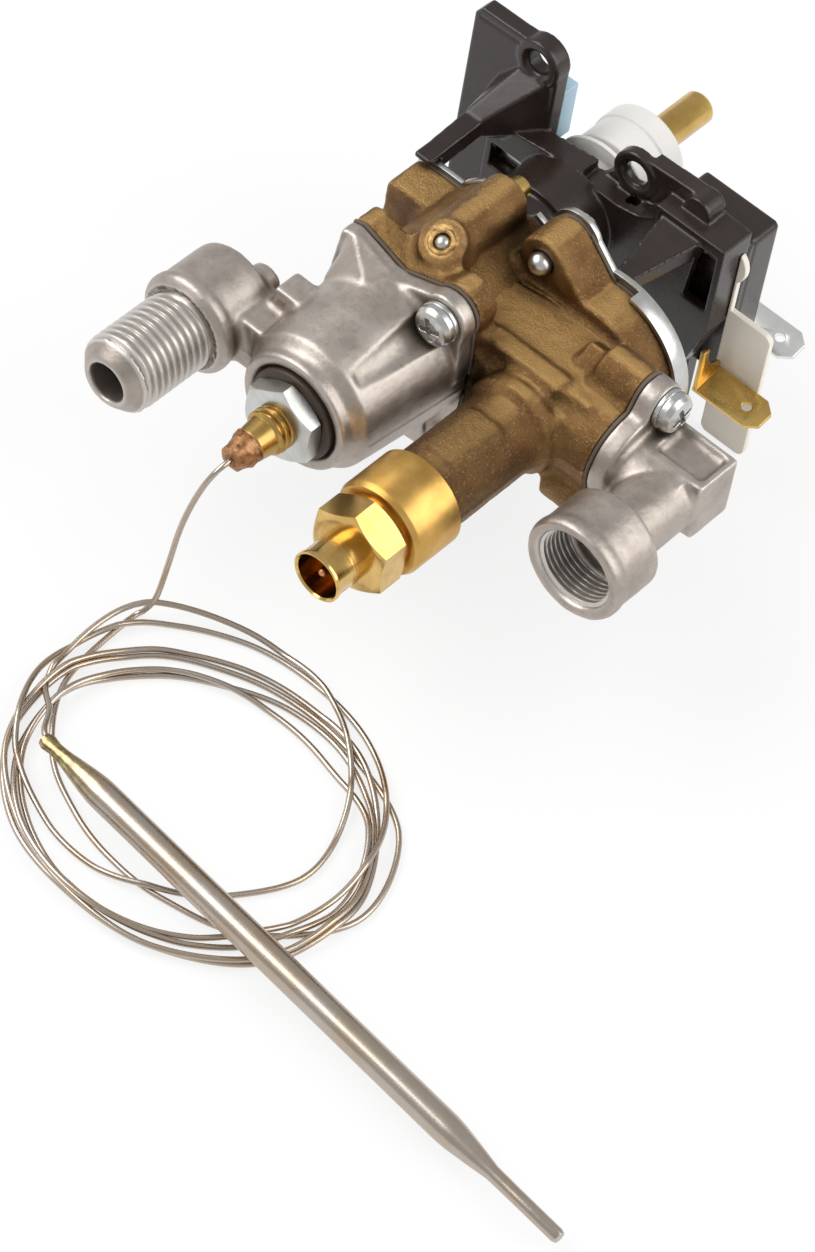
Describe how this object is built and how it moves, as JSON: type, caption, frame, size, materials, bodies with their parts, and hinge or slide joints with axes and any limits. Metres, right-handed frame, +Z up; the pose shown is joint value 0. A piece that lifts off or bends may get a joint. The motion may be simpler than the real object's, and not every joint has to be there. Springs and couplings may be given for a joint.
{
  "type": "gas oven tap with thermostat",
  "caption": "Brass gas tap with a push-and-turn shaft, capillary thermostat, flame-failure magnet unit, inlet elbow, flare outlet and a plastic switch carrier.",
  "frame": {"origin": "on the shaft axis, in the plane where the knob seats on the white collar", "axes": "+Y out along the shaft, +X across the ports towards the inlet elbow, +Z up from the surface that the tap lies on"},
  "size_m": [0.1537, 0.1813, 0.0565],
  "materials": {
    "cast_brass": "sand-cast brown brass, worn bright on its edges",
    "bright_brass": "machined bright brass",
    "die_cast": "die-cast aluminium, satin and slightly pitted",
    "zinc_steel": "zinc-plated steel",
    "spring_steel": "bare spring steel and sheet",
    "copper": "copper",
    "capillary_steel": "drawn steel tube, warm grey",
    "braze": "brown brazing alloy",
    "black_plastic": "glossy black plastic",
    "white_plastic": "white plastic",
    "cream_plastic": "cream plastic",
    "blue_plastic": "light-blue plastic",
    "brown_washer": "dark brown washer",
    "seal_rubber": "black rubber and gasket board"
  },
  "bodies": {
    "tap": {"valve_body": "cast_brass", "passage_ball": "zinc_steel", "bonnet_gasket": "seal_rubber", "bonnet_plate": "zinc_steel", "bonnet_screws": "zinc_steel", "bonnet_bush": "bright_brass", "shaft_seal": "seal_rubber", "rod_seal": "seal_rubber", "magnet_can": "spring_steel", "magnet_core": "spring_steel", "magnet_coils": "copper", "magnet_sleeve": "bright_brass", "magnet_seal": "seal_rubber", "magnet_body": "bright_brass", "contact_insulator": "brown_washer", "contact_pin": "copper", "housing_gasket": "seal_rubber", "thermostat_housing": "die_cast", "housing_screws": "zinc_steel", "housing_washers": "zinc_steel", "thermostat_seat": "bright_brass", "expansion_capsule": "spring_steel", "thermostat_stem": "bright_brass", "stem_washer": "brown_washer", "lock_nut": "zinc_steel", "stem_braze": "braze", "elbow_gasket": "seal_rubber", "inlet_elbow": "die_cast", "elbow_screws": "zinc_steel", "elbow_washers": "zinc_steel", "switch_carrier": "black_plastic", "main_switch": "black_plastic", "lamp_switch": "blue_plastic", "insulating_plate": "cream_plastic", "front_terminal": "bright_brass", "rear_terminal": "zinc_steel", "capillary_tube": "capillary_steel", "capillary_coil": "capillary_steel", "sensing_bulb": "capillary_steel"},
    "plug": {"tapered_plug": "bright_brass", "setting_spindle": "bright_brass", "plug_spring": "spring_steel"},
    "shaft": {"shaft": "bright_brass", "cam_collar": "white_plastic", "shaft_clip": "zinc_steel", "shaft_spring": "spring_steel"},
    "yoke": {"push_yoke": "zinc_steel", "push_rod": "zinc_steel"},
    "gas_valve": {"armature": "spring_steel", "valve_disc": "seal_rubber", "armature_spring": "spring_steel"},
    "slide": {"switch_slide": "white_plastic"},
    "thermostat_valve": {"thermostat_disc": "bright_brass", "disc_spring": "spring_steel"},
    "bypass": {"bypass_screw": "bright_brass", "bypass_seal": "seal_rubber"}
  },
  "joints": [
    {"name": "plug_turn", "type": "hinge", "parent": "tap", "child": "plug", "pos_m": [0, -0.0503, 0], "axis": [0, 1, 0], "range_deg": [0, 270]},
    {"name": "shaft_push", "type": "slide", "parent": "plug", "child": "shaft", "axis": [0, -1, 0], "range_m": [0, 0.004], "stiffness_N_per_m": 1500, "springref_m": -0.003, "deforming": ["shaft_spring", "plug_spring"]},
    {"name": "yoke_slide", "type": "slide", "parent": "tap", "child": "yoke", "axis": [0, -1, 0], "range_m": [0, 0.004]},
    {"name": "gas_valve_lift", "type": "slide", "parent": "tap", "child": "gas_valve", "axis": [0, -1, 0], "range_m": [0, 0.003], "deforming": ["armature_spring"]},
    {"name": "switch_slide_travel", "type": "slide", "parent": "tap", "child": "slide", "axis": [0, -1, 0], "range_m": [0, 0.0024]},
    {"name": "thermostat_closing", "type": "slide", "parent": "tap", "child": "thermostat_valve", "axis": [0, 1, 0], "range_m": [0, 0.0015], "stiffness_N_per_m": 600, "springref_m": -0.001, "deforming": ["disc_spring"]},
    {"name": "bypass_adjust", "type": "hinge", "parent": "tap", "child": "bypass", "pos_m": [0, -0.0413, 0.015], "axis": [0, 1, 0], "range_deg": [-180, 180]}
  ],
  "couplings": [
    {"joint": "yoke_slide", "follows": "shaft_push", "ratio": 1},
    {"joint": "gas_valve_lift", "follows": "shaft_push", "ratio": 0.75},
    {"joint": "switch_slide_travel", "follows": "shaft_push", "ratio": 0.6}
  ]
}
